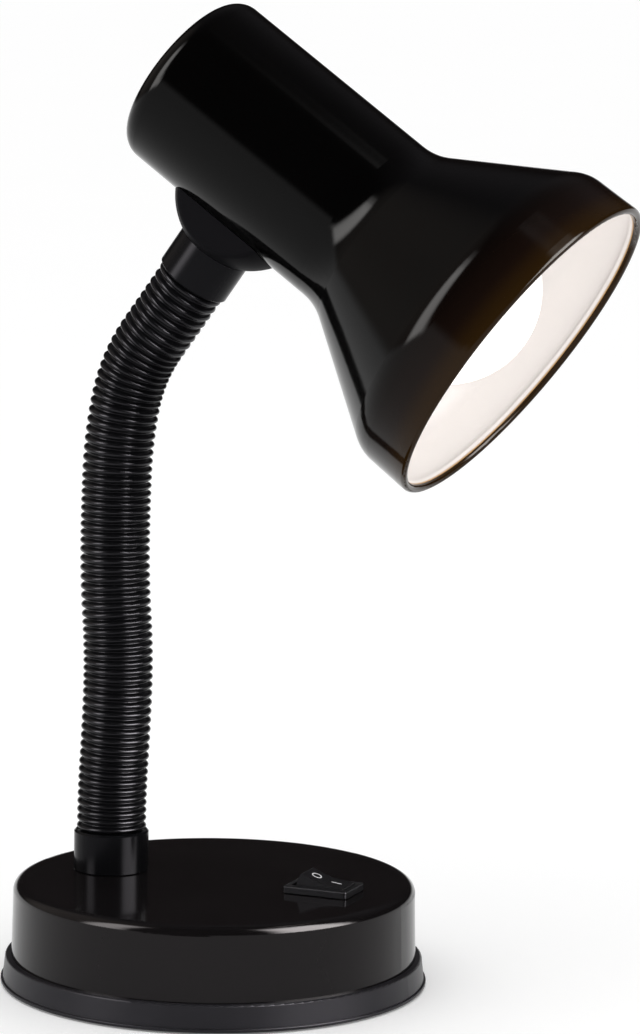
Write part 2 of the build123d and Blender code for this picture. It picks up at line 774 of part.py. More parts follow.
# Rocker switch: bezel and body in one housing, sunk for the rocker and slotted for the blades
pivot_level = cover_height - pivot_depth
body_bottom = cover_height - body_depth
blade_room = body_bottom - ballast_top
blade_bottom = ballast_top + blade_end_share * blade_room
lead_level = ballast_top + lead_level_share * blade_room
strip_drop = rocker_depth + strip_thickness + moving_gap
side_blade_drop = strip_drop + blade_spacing * math.sin(math.radians(rocker_tilt))
blade_places = ((0, strip_drop), (blade_spacing, side_blade_drop))
with BuildPart() as switch_housing:
    with BuildSketch(Plane.XY.offset(cover_height)):
        with Locations((switch_x, 0)):
            RectangleRounded(bezel_length, bezel_width, bezel_corner)
    extrude(amount=bezel_height)
    fillet(switch_housing.edges().group_by(Axis.Z)[-1], bezel_round)
    chamfer(switch_housing.edges().group_by(Axis.Z)[0], bezel_joint_width)
    with BuildSketch(Plane.XY.offset(body_bottom)):
        with Locations((switch_x, 0)):
            Rectangle(body_length, body_width)
    extrude(amount=body_depth)
    with BuildSketch(Plane.XY.offset(cover_height)):
        with Locations((switch_x, 0)):
            Rectangle(window_length, rocker_width + 2 * moving_gap)
    extrude(amount=bezel_height, mode=Mode.SUBTRACT)
    with BuildSketch(Plane.XY.offset(body_bottom + body_floor)):
        with Locations((switch_x, 0)):
            Rectangle(cavity_length, rocker_width + 2 * moving_gap)
    extrude(amount=body_depth - body_floor, mode=Mode.SUBTRACT)
    with BuildSketch(Plane(origin=(switch_x, 0, pivot_level), x_dir=(1, 0, 0), z_dir=(0, -1, 0))):
        Circle(pivot_radius + running_fit)
    extrude(amount=rocker_width / 2 + pivot_length + slip_fit, both=True, mode=Mode.SUBTRACT)
    with BuildSketch(Plane.XY.offset(body_bottom)):
        for blade_x, _ in blade_places:
            with Locations((switch_x + blade_x, 0)):
                Rectangle(blade_thickness + 2 * running_fit, blade_width + 2 * running_fit)
    extrude(amount=body_floor, mode=Mode.SUBTRACT)

# Rocker, drawn with its I end pressed, and the contact strip under it
rocker_angle = math.radians(rocker_tilt)
rocker_plane = Plane(origin=(switch_x, 0, pivot_level),
                     x_dir=(math.cos(rocker_angle), 0, -math.sin(rocker_angle)), z_dir=(0, -1, 0))
with BuildPart() as switch_rocker:
    with BuildSketch(rocker_plane):
        with BuildLine():
            Polyline(
                (-rocker_length / 2, rocker_height),
                (0, rocker_height - rocker_dip_depth),
                (rocker_length / 2, rocker_height),
                (rocker_waist_length / 2, rocker_waist_height),
                (rocker_foot_length / 2, -rocker_depth),
                (-rocker_foot_length / 2, -rocker_depth),
                (-rocker_waist_length / 2, rocker_waist_height),
                close=True,
            )
        make_face()
    extrude(amount=rocker_width / 2, both=True)
    rocker_rims = switch_rocker.edges().filter_by(Axis.Y).sort_by(rocker_plane.location.y_axis)
    fillet([rocker_rims[-1], rocker_rims[-2]], rocker_round)
    with BuildSketch(rocker_plane):
        Circle(pivot_radius)
    extrude(amount=rocker_width / 2 + pivot_length, both=True)

with BuildPart() as rocker_contact:
    with BuildSketch(rocker_plane):
        with Locations((0, -rocker_depth - strip_thickness / 2)):
            Rectangle(strip_length, strip_thickness)
    extrude(amount=strip_width / 2, both=True)

# Contact blades: the middle one under the pivot, the other under the rocker's I end
with BuildPart() as switch_terminals:
    for blade_x, blade_drop in blade_places:
        with BuildSketch(Plane.XY.offset(blade_bottom)):
            with Locations((switch_x + blade_x, 0)):
                Rectangle(blade_thickness, blade_width)
        extrude(amount=pivot_level - blade_drop - blade_bottom)

# Terminal block on the weight: body, brass inserts and their screws
way_level = ballast_top + way_height
way_places = [(-way_spacing / 2, 0), (way_spacing / 2, 0)]
insert_plane = Plane(origin=(0, block_y, way_level), x_dir=(1, 0, 0), z_dir=(0, 1, 0))
with BuildPart() as terminal_block:
    with BuildSketch(Plane.XY.offset(ballast_top)):
        with Locations((0, block_y)):
            RectangleRounded(block_length, block_width, block_round)
    extrude(amount=block_height)
    with BuildSketch(insert_plane):
        with Locations(*way_places):
            Circle(insert_radius + running_fit)
    extrude(amount=block_width, both=True, mode=Mode.SUBTRACT)
    with BuildSketch(Plane.XY.offset(way_level)):
        with Locations((0, block_y)):
            with GridLocations(way_spacing, terminal_screw_spacing, 2, 2):
                Circle(terminal_screw_radius + running_fit)
    extrude(amount=block_height, mode=Mode.SUBTRACT)

with BuildPart() as terminal_inserts:
    with BuildSketch(insert_plane):
        with Locations(*way_places):
            Circle(insert_radius)
            Circle(insert_bore_radius, mode=Mode.SUBTRACT)
    extrude(amount=insert_length / 2, both=True)

with BuildPart() as terminal_screws:
    with BuildSketch(Plane.XY.offset(way_level + insert_radius)):
        with Locations((0, block_y)):
            with GridLocations(way_spacing, terminal_screw_spacing, 2, 2):
                Circle(terminal_screw_radius)
    extrude(amount=block_height - way_height - insert_radius - terminal_screw_depth)


def lead(points, bends):
    """Insulated wire of straight runs joined by arcs."""
    with BuildPart() as wire:
        with BuildLine():
            path = FilletPolyline(*points, radius=bends)
        with BuildSketch(Plane(origin=path @ 0, z_dir=path % 0)):
            Circle(lead_radius)
        sweep(path=path)
    return wire.part


# Leads in the base: block to neck, block to switch, and switch to neck
lead_start_y = block_y - insert_length / 2 + lead_grip_length
lead_turn_y = block_y - block_width
lead_pair = lead_radius + moving_gap
rise_bend = lead_rise_share * (nipple_bottom - max(way_level, lead_level))
blade_x = switch_x + blade_spacing
base_routes = (
    ((-way_spacing / 2, lead_start_y, way_level), (-way_spacing / 2, lead_turn_y, way_level),
     (neck_x, lead_pair, way_level), (neck_x, lead_pair, nipple_bottom)),
    ((way_spacing / 2, lead_start_y, way_level), (way_spacing / 2, lead_turn_y, way_level),
     (switch_x - block_width, 0, lead_level), (switch_x - blade_thickness / 2, 0, lead_level)),
    ((blade_x + blade_thickness / 2, 0, lead_level), (blade_x + way_spacing, 0, lead_level),
     (blade_x, -block_length, lead_level), (neck_x + block_width, -block_length / 2, lead_level),
     (neck_x, -lead_pair, lead_level), (neck_x, -lead_pair, nipple_bottom)),
)
base_bends = ((lead_bend, rise_bend), (lead_bend, lead_bend), (lead_bend, lead_bend, lead_bend, rise_bend))
with BuildPart() as base_leads:
    for route, bends in zip(base_routes, base_bends):
        add(lead(route, bends))

# Leads in the head: out of the swivel bolt, back along the holder and into its cap
lead_depth = holder_radius + head_lead_clear + lead_radius
with BuildPart() as head_leads:
    for side in (-head_lead_spacing / 2, head_lead_spacing / 2):
        head_route = (
            head_point(bolt_top + lead_grip_length, side, hub_depth),
            head_point(lead_depth, side, hub_depth),
            head_point(lead_depth, side, cap_entry),
            head_point(cap_entry_radius - lead_grip_length, side, cap_entry),
        )
        add(lead(head_route, (head_lead_bend, head_lead_bend)))

# Every piece under its own name
pieces = {
    "foot_pad": foot_pad.part,
    "foot_ring": foot_ring.part,
    "base_plate": base_plate.part,
    "ballast_weight": ballast_weight.part,
    "base_screws": base_screws.part,
    "base_cover": base_cover.part,
    "cord_gland": cord_gland.part,
    "terminal_block": terminal_block.part,
    "terminal_inserts": terminal_inserts.part,
    "terminal_screws": terminal_screws.part,
    "base_leads": base_leads.part,
    "switch_housing": switch_housing.part,
    "switch_terminals": switch_terminals.part,
    "switch_rocker": switch_rocker.part,
    "rocker_contact": rocker_contact.part,
    "lower_collar": lower_collar.part,
    "neck_nipple": neck_nipple.part,
    "nipple_washer": nipple_washer.part,
    "nipple_nut": nipple_nut.part,
    "neck_lead": neck_lead.part,
    "upper_collar": upper_collar.part,
    "swivel_bolt": swivel_bolt.part,
    "swivel_washer": swivel_washer.part,
    "swivel_nut": swivel_nut.part,
    "swivel_saddle": swivel_saddle.part,
    "shade": shade.part,
    "holder_bracket": holder_bracket.part,
    "holder_nipple": holder_nipple.part,
    "holder_nut": holder_nut.part,
    "holder_cap": holder_cap.part,
    "holder_body": holder_body.part,
    "holder_shell": holder_shell.part,
    "holder_contact": holder_contact.part,
    "bulb_glass": bulb_glass.part,
    "bulb_cap": bulb_cap.part,
    "bulb_insulator": bulb_insulator.part,
    "bulb_contact": bulb_contact.part,
    "head_leads": head_leads.part,
}
for index, part in enumerate(neck_links):
    pieces[f"neck_link_{index}"] = part
for index, part in enumerate(neck_sleeves, start=1):
    pieces[f"neck_sleeve_{index}"] = part

os.makedirs("parts", exist_ok=True)
for label, part in pieces.items():
    part.label = label
    export_step(part, f"parts/{label}.step")

# Places that the joints are made from
for index in range(1, hinge_count + 1):
    print("hinge", index, tuple(hinges[index - 1]), tuple(hinge_plane(index).z_dir))
print("swivel", tuple(neck_end), tuple(up))
print("rocker pivot", (switch_x, 0, pivot_level))
print("rim", tuple(rim), "hub", tuple(hub))
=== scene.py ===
"""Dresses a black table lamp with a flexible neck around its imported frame."""

import json
import math

import bpy
from bpy.props import FloatProperty, FloatVectorProperty, IntProperty, PointerProperty
from mathutils import Matrix, Vector


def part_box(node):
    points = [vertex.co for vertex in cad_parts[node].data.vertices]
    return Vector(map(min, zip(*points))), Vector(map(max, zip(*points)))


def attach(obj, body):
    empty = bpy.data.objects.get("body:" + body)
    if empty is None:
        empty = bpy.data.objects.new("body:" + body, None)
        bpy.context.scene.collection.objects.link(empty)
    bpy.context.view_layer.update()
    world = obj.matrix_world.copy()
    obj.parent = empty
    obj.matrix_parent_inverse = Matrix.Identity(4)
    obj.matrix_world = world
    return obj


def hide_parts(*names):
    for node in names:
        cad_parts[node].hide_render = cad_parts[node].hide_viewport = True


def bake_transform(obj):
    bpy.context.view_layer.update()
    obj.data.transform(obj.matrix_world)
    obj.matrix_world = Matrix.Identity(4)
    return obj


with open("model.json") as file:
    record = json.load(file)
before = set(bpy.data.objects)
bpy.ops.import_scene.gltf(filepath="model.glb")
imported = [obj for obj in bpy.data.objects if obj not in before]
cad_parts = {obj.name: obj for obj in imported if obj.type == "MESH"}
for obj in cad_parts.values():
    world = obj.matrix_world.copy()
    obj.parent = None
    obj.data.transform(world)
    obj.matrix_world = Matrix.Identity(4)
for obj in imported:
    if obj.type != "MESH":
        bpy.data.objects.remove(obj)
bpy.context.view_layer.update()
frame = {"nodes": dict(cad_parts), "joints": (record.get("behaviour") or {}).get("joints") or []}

bl_info = {
    "name": "Table Lamp Looks",
    "version": (1, 0, 0),
    "blender": (4, 5, 0),
    "location": "View3D > Sidebar > Lamp",
    "description": "Neck sleeve, inner lead, switch marks, finishes and stage of a table lamp",
    "category": "Object",
}

# Places that come from the frame
JOINTS = {joint["name"]: joint for joint in frame["joints"]}
NECK_JOINTS = [joint for joint in frame["joints"] if joint["name"].startswith("neck_")]
HINGES = [Vector(joint["pos_m"]) for joint in NECK_JOINTS]
NECK_END = Vector(JOINTS["head_swivel"]["pos_m"])
HEAD_UP = Vector(JOINTS["head_swivel"]["axis"]).normalized()
HEAD_FORWARD = Vector((HEAD_UP.z, 0, -HEAD_UP.x))
HEAD_BACK = -HEAD_FORWARD
LINK_PITCH = (HINGES[1] - HINGES[0]).length
NECK_START = HINGES[0] - Vector((0, 0, LINK_PITCH / 2))

# Limits of the modelling: lengths in metres, angles in radians
SAME_PLACE = 1e-6
SAME_RING = 1e-5
STRAIGHT = 1e-6
SLEEVE_SMOOTHING = math.radians(60)
LEAD_SMOOTHING = math.radians(40)


def box_centre(node):
    """Centre of a CAD node's box at rest."""
    low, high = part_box(node)
    return (low + high) / 2


def rim_centre():
    """Point where the shade's axis meets the plane of its rim."""
    on_axis = box_centre("bulb_cap")
    reach = max(vertex.co.dot(HEAD_FORWARD) for vertex in frame["nodes"]["shade"].data.vertices)
    return on_axis + HEAD_FORWARD * (reach - on_axis.dot(HEAD_FORWARD))


RIM = rim_centre()


def lean_of(step):
    """Angle of a stretch of neck from the vertical, forward positive."""
    return math.atan2(step.x, step.z)


# Lean of each link, from the one in the base to the one in the upper collar
LEANS = [0.0]
LEANS += [lean_of(upper - lower) for lower, upper in zip(HINGES, HINGES[1:])]
LEANS += [lean_of(HEAD_UP)]


def along(lean):
    """Unit vector of a stretch of neck."""
    return Vector((math.sin(lean), 0, math.cos(lean)))


class LampSleeveSettings(bpy.types.PropertyGroup):
    """Sizes of the ribbed sleeve over the neck."""

    crest_radius: FloatProperty(
        name="Crest radius", description="Radius over the ribs", default=0.0115, precision=5,
        subtype="DISTANCE", unit="LENGTH")
    groove_radius: FloatProperty(
        name="Groove radius", description="Radius in the grooves", default=0.01, precision=5,
        subtype="DISTANCE", unit="LENGTH")
    wall: FloatProperty(
        name="Wall", description="Thickness of the sleeve's wall", default=0.0007, precision=5,
        subtype="DISTANCE", unit="LENGTH")
    ribs: IntProperty(name="Ribs", description="Ribs on the odd stretches; the even ones have one less",
                      default=9, min=2)
    rings: IntProperty(name="Rings", description="Rings that draw one rib", default=12, min=4)
    rib_share: FloatProperty(
        name="Rib share", description="Share of the pitch that a rib takes up; the rest is flat groove",
        default=0.84, min=0.1, max=1)
    roundness: FloatProperty(
        name="Roundness", description="Power of the rib's arc: low for blunt ribs, high for pointed ones",
        default=0.8, min=0.3, max=3)
    sides: IntProperty(name="Sides", description="Facets around the sleeve", default=72, min=12)


class LampLeadSettings(bpy.types.PropertyGroup):
    """Sizes of the lead inside the neck."""

    radius: FloatProperty(
        name="Radius", description="Radius of the lead's sheath", default=0.0027, precision=5,
        subtype="DISTANCE", unit="LENGTH")
    rings: IntProperty(name="Rings", description="Rings along one stretch", default=12, min=2)
    sides: IntProperty(name="Sides", description="Facets around the lead", default=20, min=8)


class LampMarkSettings(bpy.types.PropertyGroup):
    """Sizes of the marks printed on the rocker."""

    length: FloatProperty(
        name="Length", description="Length of a mark along the rocker", default=0.0034, precision=5,
        subtype="DISTANCE", unit="LENGTH")
    ring_width: FloatProperty(
        name="Ring width", description="Width of the off mark", default=0.0037, precision=5,
        subtype="DISTANCE", unit="LENGTH")
    stroke: FloatProperty(
        name="Stroke", description="Width of the printed line", default=0.00043, precision=5,
        subtype="DISTANCE", unit="LENGTH")
    off_reach: FloatProperty(
        name="Off mark's reach", description="How far behind the rocker's pivot the off mark lies",
        default=0.0024, precision=5, subtype="DISTANCE", unit="LENGTH")
    on_reach: FloatProperty(
        name="On mark's reach", description="How far ahead of the rocker's pivot the on mark lies",
        default=0.0046, precision=5, subtype="DISTANCE", unit="LENGTH")
    thickness: FloatProperty(
        name="Thickness", description="Height of the print", default=0.00006, precision=6,
        subtype="DISTANCE", unit="LENGTH")


class LampColours(bpy.types.PropertyGroup):
    """Colours of the lamp's finishes."""

    lacquer: FloatVectorProperty(
        name="Lacquer", description="Gloss lacquer of the base", default=(0.0058, 0.005, 0.0053),
        size=3, subtype="COLOR", min=0, max=1)
    shade: FloatVectorProperty(
        name="Shade lacquer", description="Gloss lacquer outside the shade",
        default=(0.0012, 0.0011, 0.0011), size=3, subtype="COLOR", min=0, max=1)
    # Painted glow: a brown tint near the rim that stands in for the bulb's light on the outside lacquer
    painted_warm_glow: FloatVectorProperty(
        name="Warm rim", description="Lacquer browned by the heat of the bulb, towards the shade's rim",
        default=(0.0085, 0.0042, 0.0028), size=3, subtype="COLOR", min=0, max=1)
    # Painted glow: an amber tint close to the rim that stands in for the bulb's light on the outside lacquer
    painted_amber_glow: FloatVectorProperty(
        name="Amber rim", description="Lacquer tinted amber by the bulb's light, close to the shade's rim",
        default=(0.022, 0.0105, 0.0026), size=3, subtype="COLOR", min=0, max=1)
    enamel: FloatVectorProperty(
        name="Enamel", description="White paint inside the shade", default=(0.885, 0.856, 0.838),
        size=3, subtype="COLOR", min=0, max=1)
    plastic: FloatVectorProperty(
        name="Plastic", description="Satin plastic of the collars",
        default=(0.0042, 0.0042, 0.0048), size=3, subtype="COLOR", min=0, max=1)
    saddle: FloatVectorProperty(
        name="Saddle", description="Matt plastic of the saddle under the shade",
        default=(0.0052, 0.005, 0.0058), size=3, subtype="COLOR", min=0, max=1)
    foot: FloatVectorProperty(
        name="Foot", description="Satin plastic of the foot ring", default=(0.017, 0.0164, 0.0188),
        size=3, subtype="COLOR", min=0, max=1)
    sleeve: FloatVectorProperty(
        name="Sleeve", description="Soft plastic of the neck's sleeve", default=(0.0045, 0.0045, 0.0051),
        size=3, subtype="COLOR", min=0, max=1)
    glow: FloatVectorProperty(
        name="Glow", description="Light of the lit bulb", default=(1.0, 0.95, 0.92),
        size=3, subtype="COLOR", min=0, max=1)
    glow_strength: FloatProperty(
        name="Glow strength", description="Brightness of the lit bulb", default=1.14, min=0)


class LampStageSettings(bpy.types.PropertyGroup):
    """Camera and light of the studio."""

    azimuth: FloatProperty(
        name="Azimuth", description="Where the camera stands round the lamp", default=math.radians(23.96),
        subtype="ANGLE", unit="ROTATION")
    distance: FloatProperty(
        name="Distance", description="Camera's distance from the lamp's upright", default=1.344,
        subtype="DISTANCE", unit="LENGTH")
    height: FloatProperty(
        name="Height", description="Camera's height over the floor", default=0.34534, precision=5,
        subtype="DISTANCE", unit="LENGTH")
    yaw: FloatProperty(
        name="Yaw", description="How far the camera aims past the upright", default=math.radians(-1.40),
        subtype="ANGLE", unit="ROTATION")
    pitch: FloatProperty(
        name="Pitch", description="How far the camera looks down", default=math.radians(8.09),
        subtype="ANGLE", unit="ROTATION")
    roll: FloatProperty(
        name="Roll", description="Turn of the camera about its own line of sight",
        default=math.radians(0.87), subtype="ANGLE", unit="ROTATION")
    lens: FloatProperty(
        name="Lens", description="Focal length on a sensor 36 mm long, in millimetres",
        default=145.6, min=1)
    floor: FloatVectorProperty(
        name="Floor", description="Colour of the floor", default=(0.96, 0.96, 0.96),
        size=3, subtype="COLOR", min=0, max=1)
    room: FloatVectorProperty(
        name="Room", description="Dim studio above the horizon", default=(0.013, 0.01, 0.01),
        size=3, subtype="COLOR", min=0, max=1)
    ambient: FloatProperty(
        name="Ambient", description="Level of the soft light from all round", default=0.9, min=0)


def deselect():
    """Leaves edit mode and selects nothing."""
    if bpy.context.mode != "OBJECT":
        bpy.ops.object.mode_set(mode="OBJECT")
    bpy.ops.object.select_all(action="DESELECT")


def make_active(piece):
    """Selects one object alone and makes it the active one."""
    deselect()
    piece.select_set(True)
    bpy.context.view_layer.objects.active = piece


def apply_modifier(piece, kind, **settings):
    """Adds a modifier with these settings and applies it."""
    modifier = piece.modifiers.new(kind.title(), kind)
    for key, value in settings.items():
        setattr(modifier, key, value)
    make_active(piece)
    bpy.ops.object.modifier_apply(modifier=modifier.name)


def select_verts(piece, wanted):
    """In edit mode, selects the vertices whose place passes a test."""
    bpy.ops.mesh.select_mode(type="VERT")
    bpy.ops.mesh.select_all(action="DESELECT")
    bpy.ops.object.mode_set(mode="OBJECT")
    for vertex in piece.data.vertices:
        vertex.select = wanted(vertex.co)
    bpy.ops.object.mode_set(mode="EDIT")


def raise_ring(centre_level, rise, share):
    """Extrudes the selected ring upwards and scales it about the axis."""
    bpy.ops.mesh.extrude_edges_move(TRANSFORM_OT_translate={"value": (0, 0, rise)})
    bpy.ops.transform.resize(value=(share, share, 1), center_override=(0, 0, centre_level))


def clean_mesh(piece):
    """Merges doubles and points the faces outwards."""
    make_active(piece)
    bpy.ops.object.mode_set(mode="EDIT")
    bpy.ops.mesh.select_all(action="SELECT")
    bpy.ops.mesh.remove_doubles(threshold=SAME_PLACE)
    bpy.ops.mesh.normals_make_consistent(inside=False)
    bpy.ops.object.mode_set(mode="OBJECT")


def bent_copy(pattern, name, index):
    """Copies a straight pattern and lays it along one stretch of the neck, from mid link to mid link."""
    make_active(pattern)
    bpy.ops.object.duplicate(linked=False)
    piece = bpy.context.object
    piece.name = name
    piece.data.name = name
    start_lean = LEANS[index - 1]
    turn = LEANS[index] - start_lean
    if abs(turn) > STRAIGHT:
        radius = LINK_PITCH / 2 / math.tan(turn / 2)
        piece.scale.z = radius * turn / LINK_PITCH
        bpy.ops.object.transform_apply(location=False, rotation=False, scale=True)
        apply_modifier(piece, "SIMPLE_DEFORM", deform_method="BEND", deform_axis="Y", angle=turn)
    piece.location = HINGES[index - 1] - along(start_lean) * (LINK_PITCH / 2)
    piece.rotation_euler = (0, start_lean, 0)
    bpy.ops.object.transform_apply(location=True, rotation=True, scale=True)
    return piece


def bend_over_hinge(piece):
    """Bakes a piece of the neck's placement into its mesh; the piece is not tied to the hinge's bodies here.
    """
    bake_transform(piece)


class LAMP_OT_neck_sleeve(bpy.types.Operator):
    """Models a stretch of the ribbed sleeve with each count of ribs and lays copies along the neck."""

    bl_idname = "lamp.neck_sleeve"
    bl_label = "Neck sleeve"

    def execute(self, context):
        """Makes the patterns, lays the copies and removes the patterns."""
        size = context.scene.lamp_sleeve
        patterns = {ribs: self.make_pattern(size, ribs) for ribs in (size.ribs, size.ribs - 1)}
        for index in range(1, len(HINGES) + 1):
            ribs = size.ribs - (index + 1) % 2
            piece = bent_copy(patterns[ribs], f"ribbed_sleeve_{index}", index)
            piece.data.materials.append(sleeve_finish())
            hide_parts(f"neck_sleeve_{index}")
            bend_over_hinge(piece)
        for pattern in patterns.values():
            bpy.data.objects.remove(pattern)
        return {"FINISHED"}

    def make_pattern(self, size, ribs):
        """Straight stretch of sleeve: one rib drawn up ring by ring, repeated, and given its wall."""
        pitch = LINK_PITCH / ribs
        deselect()
        bpy.ops.mesh.primitive_circle_add(vertices=size.sides, radius=size.groove_radius)
        pattern = bpy.context.object
        bpy.ops.object.mode_set(mode="EDIT")
        bpy.ops.mesh.select_all(action="SELECT")
        depth = size.crest_radius - size.groove_radius
        radius = size.groove_radius
        for ring in range(1, size.rings + 1):
            share = ring / size.rings
            across = (2 * share - 1) / size.rib_share
            next_radius = size.groove_radius + depth * max(1 - across ** 2, 0) ** size.roundness
            raise_ring(share * pitch, pitch / size.rings, next_radius / radius)
            radius = next_radius
        bpy.ops.object.mode_set(mode="OBJECT")
        apply_modifier(pattern, "ARRAY", count=ribs, use_relative_offset=False,
                       use_constant_offset=True, constant_offset_displace=(0, 0, pitch),
                       use_merge_vertices=True, merge_threshold=SAME_RING)
        clean_mesh(pattern)
        apply_modifier(pattern, "SOLIDIFY", thickness=size.wall, offset=-1, use_rim=True)
        make_active(pattern)
        bpy.ops.object.shade_smooth_by_angle(angle=SLEEVE_SMOOTHING)
        return pattern


class LAMP_OT_neck_lead(bpy.types.Operator):
    """Models the lead that runs through the neck, one stretch for each hinge."""

    bl_idname = "lamp.neck_lead"
    bl_label = "Neck lead"

    def execute(self, context):
        """Draws one straight stretch, lays a copy over each hinge and lengthens the two ends."""
        size = context.scene.lamp_lead
        deselect()
        bpy.ops.mesh.primitive_circle_add(vertices=size.sides, radius=size.radius)
        pattern = context.object
        bpy.ops.object.mode_set(mode="EDIT")
        bpy.ops.mesh.select_all(action="SELECT")
        step = LINK_PITCH / size.rings
        for ring in range(size.rings):
            raise_ring((ring + 1) * step, step, 1.0)
        bpy.ops.object.mode_set(mode="OBJECT")
        low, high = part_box("neck_lead")
        last = len(HINGES)
        for index in range(1, last + 1):
            piece = bent_copy(pattern, f"lead_stretch_{index}", index)
            bpy.ops.object.mode_set(mode="EDIT")
            if index == 1:
                tail = Vector((0, 0, low.z - NECK_START.z))
                select_verts(piece, lambda place: place.z < NECK_START.z + step / 2)
                bpy.ops.mesh.extrude_edges_move(TRANSFORM_OT_translate={"value": tail})
            if index == last:
                top = high.z - size.radius * HEAD_UP.x
                tail = HEAD_UP * ((top - NECK_END.z) / HEAD_UP.z)
                select_verts(piece, lambda place: (place - NECK_END).dot(HEAD_UP) > -step / 2)
                bpy.ops.mesh.extrude_edges_move(TRANSFORM_OT_translate={"value": tail})
            bpy.ops.mesh.select_all(action="DESELECT")
            bpy.ops.mesh.select_non_manifold()
            bpy.ops.mesh.edge_face_add()
            clean_mesh(piece)
            bpy.ops.object.shade_smooth_by_angle(angle=LEAD_SMOOTHING)
            piece.data.materials.append(lead_finish())
            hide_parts("neck_lead")
            bend_over_hinge(piece)
        bpy.data.objects.remove(pattern)
        return {"FINISHED"}


# Marks of the switch: facets of the ring, width and rounding of the bar as shares of the stroke
RING_SIDES = 40
BAR_WIDTH_SHARE = 1.2
BAR_ROUND_SHARE = 0.2
BAR_ROUND_STEPS = 3
# Start of the ray that finds the rocker's face: beside the middle plane, and over the rocker
RAY_SIDE = 0.0002
RAY_RISE = 0.01


def lay_on_rocker(piece, reach):
    """Turns and moves a flat mark onto the rocker's top face, at a distance along it from the pivot."""
    rocker = frame["nodes"]["switch_rocker"]
    pivot = Vector(JOINTS["switch_rock"]["pos_m"])
    above = Vector((pivot.x + reach, RAY_SIDE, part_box("switch_rocker")[1].z + RAY_RISE))
    hit, place, normal, _ = rocker.ray_cast(above, Vector((0, 0, -1)))
    if not hit:
        raise RuntimeError(f"no rocker face under the mark {piece.name}")
    side = Vector((0, 1, 0))
    turn = Matrix((side.cross(normal), side, normal)).transposed().to_4x4()
    piece.matrix_world = Matrix.Translation((place.x, 0, place.z)) @ turn
    make_active(piece)
    bpy.ops.object.transform_apply(location=True, rotation=True, scale=True)


class LAMP_OT_switch_marks(bpy.types.Operator):
    """Prints the off ring and the on bar on the rocker."""

    bl_idname = "lamp.switch_marks"
    bl_label = "Switch marks"

    def execute(self, context):
        """Draws the two flat marks, thickens them and lays them on the rocker."""
        size = context.scene.lamp_marks
        deselect()
        bpy.ops.mesh.primitive_circle_add(vertices=RING_SIDES, radius=0.5)
        ring = context.object
        ring.name = ring.data.name = "off_mark"
        bpy.ops.object.mode_set(mode="EDIT")
        bpy.ops.mesh.select_all(action="SELECT")
        bpy.ops.transform.resize(value=(size.length, size.ring_width, 1), center_override=(0, 0, 0))
        inner = (1 - 2 * size.stroke / size.length, 1 - 2 * size.stroke / size.ring_width, 1)
        bpy.ops.mesh.extrude_edges_move()
        bpy.ops.transform.resize(value=inner, center_override=(0, 0, 0))
        bpy.ops.object.mode_set(mode="OBJECT")
        deselect()
        bpy.ops.mesh.primitive_plane_add(size=1)
        bar = context.object
        bar.name = bar.data.name = "on_mark"
        bpy.ops.object.mode_set(mode="EDIT")
        bpy.ops.mesh.select_all(action="SELECT")
        width = size.stroke * BAR_WIDTH_SHARE
        bpy.ops.transform.resize(value=(size.length, width, 1), center_override=(0, 0, 0))
        bpy.ops.mesh.bevel(offset=size.stroke * BAR_ROUND_SHARE, segments=BAR_ROUND_STEPS, affect="VERTICES")
        bpy.ops.object.mode_set(mode="OBJECT")
        for piece, reach in ((ring, -size.off_reach), (bar, size.on_reach)):
            clean_mesh(piece)
            if sum(polygon.normal.z for polygon in piece.data.polygons) < 0:
                bpy.ops.object.mode_set(mode="EDIT")
                bpy.ops.mesh.flip_normals()
                bpy.ops.object.mode_set(mode="OBJECT")
            apply_modifier(piece, "SOLIDIFY", thickness=size.thickness * 2, offset=0, use_rim=True)
            lay_on_rocker(piece, reach)
            piece.data.materials.append(print_finish())
            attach(piece, "rocker")
        return {"FINISHED"}


class Wire:
    """A socket of a material, whose arithmetic adds Math nodes."""

    def __init__(self, recipe, node, output):
        self.recipe = recipe
        self.node = node
        self.socket = node.outputs[output]

    def other(self, output):
        """Another output of the same node."""
        return Wire(self.recipe, self.node, output)

    def math(self, operation, first, second):
        """Math node of two values or links."""
        return self.recipe.node("ShaderNodeMath", {"operation": operation}, {0: first, 1: second})

    def __add__(self, value):
        return self.math("ADD", self, value)

    def __radd__(self, value):
        return self.math("ADD", value, self)

    def __sub__(self, value):
        return self.math("SUBTRACT", self, value)

    def __rsub__(self, value):
        return self.math("SUBTRACT", value, self)

    def __mul__(self, value):
        return self.math("MULTIPLY", self, value)

    def __rmul__(self, value):
        return self.math("MULTIPLY", value, self)

    def __gt__(self, value):
        return self.math("GREATER_THAN", self, value)

    def __lt__(self, value):
        return self.math("LESS_THAN", self, value)


